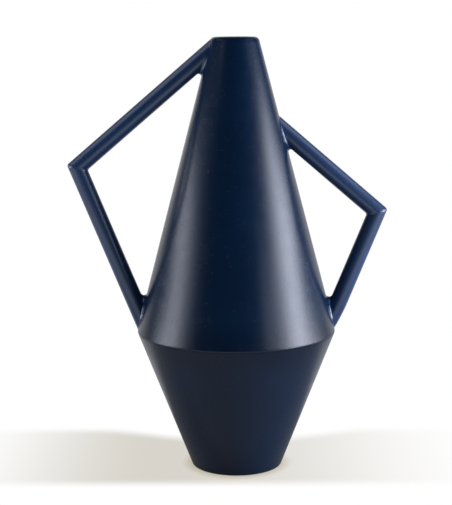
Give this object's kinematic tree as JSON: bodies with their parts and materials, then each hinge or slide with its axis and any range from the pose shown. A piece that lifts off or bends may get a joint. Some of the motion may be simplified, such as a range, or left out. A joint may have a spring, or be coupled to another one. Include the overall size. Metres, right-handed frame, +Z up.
{
  "type": "amphora vase",
  "caption": "Tall angular amphora: an upright cone on an inverted cone, with a narrow open mouth and uneven bent-rod handles.",
  "frame": {"origin": "centre of the flat underside, on the axis of the two cones", "axes": "+Z up along the vase's axis to the mouth; +X towards the small handle, -X towards the big one; Y is square to the handles' plane"},
  "size_m": [0.3686, 0.2298, 0.5],
  "materials": {
    "body_glaze": "satin navy glaze",
    "handle_glaze": "satin navy glaze",
    "inside_glaze": "satin navy glaze, inside",
    "bare_clay": "unglazed, sanded clay"
  },
  "bodies": {
    "root": {"neck_shell": "body_glaze", "belly_shell": "body_glaze", "floor_plug": "bare_clay", "shoulder_seam_coil": "inside_glaze", "floor_seam_coil": "inside_glaze", "left_upper_rod": "handle_glaze", "left_upper_web": "handle_glaze", "left_lower_rod": "handle_glaze", "left_lower_web": "handle_glaze", "right_upper_rod": "handle_glaze", "right_upper_web": "handle_glaze", "right_lower_rod": "handle_glaze", "right_lower_web": "handle_glaze"}
  },
  "joints": []
}
